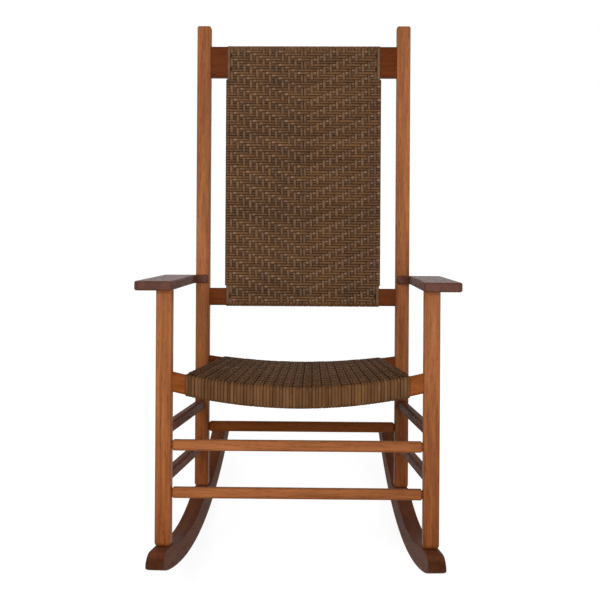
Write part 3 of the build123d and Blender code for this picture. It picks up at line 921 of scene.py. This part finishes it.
# ---------------------------------------------------------------- the wooden pieces
# Each wood has a light colour, a deep one and that of its pores
ORANGE = ((0.47, 0.172, 0.062), (0.19, 0.060, 0.019), (0.07, 0.02, 0.006))
RED_BROWN = ((0.165, 0.037, 0.0055), (0.085, 0.018, 0.002), (0.03, 0.007, 0.001))
AMBER = ((0.29, 0.080, 0.013), (0.155, 0.038, 0.005), (0.06, 0.014, 0.003))
WALNUT = ((0.140, 0.050, 0.032), (0.075, 0.025, 0.015), (0.025, 0.009, 0.006))
DARK_WALNUT = ((0.178, 0.059, 0.026), (0.097, 0.031, 0.014), (0.030, 0.010, 0.004))
RUNG_WALNUT = ((0.21, 0.070, 0.036), (0.115, 0.036, 0.018), (0.035, 0.011, 0.006))
BARE = ((0.50, 0.33, 0.19), (0.38, 0.24, 0.13), (0.2, 0.12, 0.06))

# The finish of each piece, by how its name starts
posts = ("rear_post", "front_post")
dark_rails = ("seat_rear_rail", "back_top_rail", "back_lower_rail")
hidden_pieces = ("seat_side_rail", "back_side_rod", "front_rocker", "rear_rocker", "arm_dowels")
finish_of = {
    posts: wood_finish("post wood", UPRIGHT, ORANGE, gloss=0.04, foot_shade=1.0),
    ("front_stretcher",): wood_finish("front rung wood", ACROSS, ORANGE, gloss=0.03, foot_shade=0.5),
    dark_rails: wood_finish("rail wood", ACROSS, RED_BROWN, gloss=0.05),
    ("seat_front_rail", "rear_stretcher"): wood_finish("front rail wood", ACROSS, AMBER, gloss=0.05),
    ("arm_left", "arm_right"): wood_finish("arm wood", LENGTHWISE, WALNUT, gloss=0.12),
    ("side_stretcher",): wood_finish("side rung wood", LENGTHWISE, RUNG_WALNUT, gloss=0.008),
    ("rocker",): wood_finish("rocker wood", LENGTHWISE, DARK_WALNUT, gloss=0.006, end_shade=0.5),
    hidden_pieces: wood_finish("bare wood", LENGTHWISE, BARE, gloss=0.2),
}
for starts, finish in finish_of.items():
    for name, piece in nodes.items():
        if name.startswith(starts):
            piece.data.materials.clear()
            piece.data.materials.append(finish)

# ---------------------------------------------------------------- camera, lamps, room and floor
CAMERA_PLACE = (0.0550, -2.3517, 0.4895)    # in the chair's own directions
CAMERA_ASIDE = 0.02176                      # turned to its left, in radians
CAMERA_NOD = -0.00171
CAMERA_ROLL = 0.0062
CAMERA_LENS = 70.589                        # millimetres
CAMERA_SENSOR = 36
LAMPS_AIM = Vector((0, 0, 0.5))
ROOM_LIGHT = 0.45
FLOOR_REACH = 30
FLOOR_GLOW = 0.88                           # makes up for what the floor's own colour lacks
FLOOR_SEEN = (0.3, 0.3, 0.3, 1)
FLOOR_BOUNCING = (0.5, 0.5, 0.5, 1)


def add_camera():
    """The camera: in front of the chair, a little to the right, square on to its back."""
    right = Vector((cos(CAMERA_ASIDE), sin(CAMERA_ASIDE), 0))
    forward = Vector((-sin(CAMERA_ASIDE), cos(CAMERA_ASIDE), 0))
    up = Vector((0, 0, 1))
    ahead = forward * cos(CAMERA_NOD) - up * sin(CAMERA_NOD)
    over = up * cos(CAMERA_NOD) + forward * sin(CAMERA_NOD)
    rolled_right = right * cos(CAMERA_ROLL) + over * sin(CAMERA_ROLL)
    rolled_over = over * cos(CAMERA_ROLL) - right * sin(CAMERA_ROLL)
    turned = Matrix((rolled_right, rolled_over, -ahead)).transposed().to_4x4()
    camera = bpy.data.objects.new("camera", bpy.data.cameras.new("camera"))
    camera.data.lens = CAMERA_LENS
    camera.data.sensor_width = CAMERA_SENSOR
    camera.matrix_world = CHAIR @ Matrix.Translation(CAMERA_PLACE) @ turned
    bpy.context.scene.collection.objects.link(camera)
    bpy.context.scene.camera = camera


def add_lamp(name, where, size, power):
    """A round lamp aimed at the middle of the chair."""
    lamp = bpy.data.lights.new(name, "AREA")
    lamp.shape = "DISK"
    lamp.size = size
    lamp.energy = power
    holder = bpy.data.objects.new(name, lamp)
    aim = LAMPS_AIM - Vector(where)
    holder.matrix_world = Matrix.Translation(where) @ aim.to_track_quat("-Z", "Y").to_matrix().to_4x4()
    bpy.context.scene.collection.objects.link(holder)


def seen_in_picture(tree):
    """1 for what the camera sees directly, in a reflection or through glass, else 0."""
    path = add_node(tree, "ShaderNodeLightPath")
    direct, reflected, through = (
        Value(tree, path.outputs[f"Is {kind} Ray"]) for kind in ("Camera", "Glossy", "Transmission")
    )
    return direct.reckon("MAXIMUM", reflected.reckon("MAXIMUM", through))


def add_room():
    """A white room, which lights the chair less than it shows."""
    world = bpy.data.worlds.new("room")
    world.use_nodes = True
    tree = world.node_tree
    background = tree.nodes["Background"]
    background.inputs["Color"].default_value = (1, 1, 1, 1)
    give(background.inputs["Strength"], seen_in_picture(tree) * (1 - ROOM_LIGHT) + ROOM_LIGHT)
    bpy.context.scene.world = world


def add_floor():
    """A pale floor: white where it is seen, with the chair's shadow, and plain where it bounces."""
    corners = [(-1, -1), (1, -1), (1, 1), (-1, 1)]
    mesh = bpy.data.meshes.new("floor")
    mesh.from_pydata([(FLOOR_REACH * x, FLOOR_REACH * y, 0) for x, y in corners], [], [(0, 1, 2, 3)])
    floor = bpy.data.objects.new("floor", mesh)
    bpy.context.scene.collection.objects.link(floor)
    material, tree, shader = new_material("floor")
    seen = seen_in_picture(tree)
    give(shader.inputs["Base Color"], mix(tree, seen, FLOOR_BOUNCING, FLOOR_SEEN))
    shader.inputs["Roughness"].default_value = 1.0
    shader.inputs["Specular IOR Level"].default_value = 0.0
    shader.inputs["Emission Color"].default_value = (1, 1, 1, 1)
    give(shader.inputs["Emission Strength"], seen * FLOOR_GLOW)
    mesh.materials.append(material)


add_camera()
add_lamp("key", where=(-1.5, -4.2, 3.4), size=1.4, power=90)
add_lamp("fill", where=(1.0, -3.6, 1.2), size=2.0, power=54)
add_room()
add_floor()
bpy.context.scene.view_settings.view_transform = "Standard"
